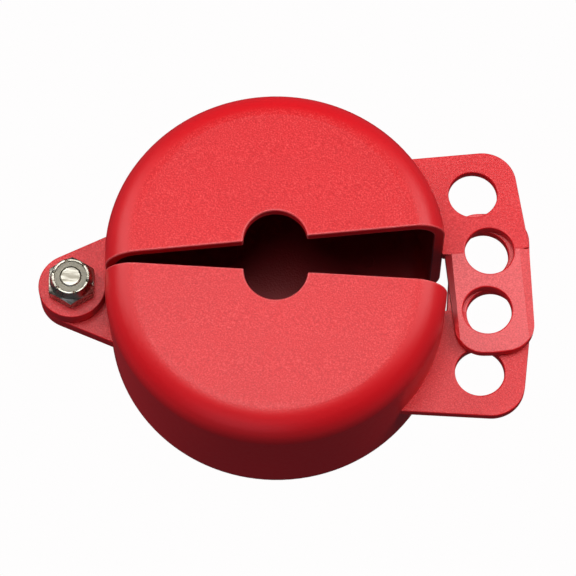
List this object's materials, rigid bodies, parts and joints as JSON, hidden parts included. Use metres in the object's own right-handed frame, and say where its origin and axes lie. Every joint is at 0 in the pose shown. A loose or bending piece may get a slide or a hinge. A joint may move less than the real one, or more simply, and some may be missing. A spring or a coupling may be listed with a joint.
{
  "type": "valve handwheel lockout",
  "caption": "Clamshell lockout of two red moulded half drums that hinge on a bolt, close round a valve handwheel and overlap in a drilled hasp for padlocks.",
  "frame": {"origin": "on the axis of the lower half's stem opening, in the middle of the front wall", "axes": "+Z along the valve stem towards the front face, +X along the lower half's split edge from the hinge bolt to the hasp"},
  "size_m": [0.1117, 0.0829, 0.0402],
  "materials": {
    "shell": "moulded polypropylene, fine spark-eroded grain",
    "bolt": "stainless steel",
    "nut": "stainless steel",
    "nylon": "moulded nylon"
  },
  "bodies": {
    "lower": {"lower_shell": "shell", "hinge_bolt": "bolt", "lock_nut": "nut", "nylon_insert": "nylon"},
    "upper": {"upper_shell": "shell"}
  },
  "joints": [
    {"name": "hinge", "type": "hinge", "parent": "lower", "child": "upper", "pos_m": [-0.046, 0, -0.0189], "axis": [0, 0, 1], "range_deg": [-8.6, 236.4]}
  ]
}
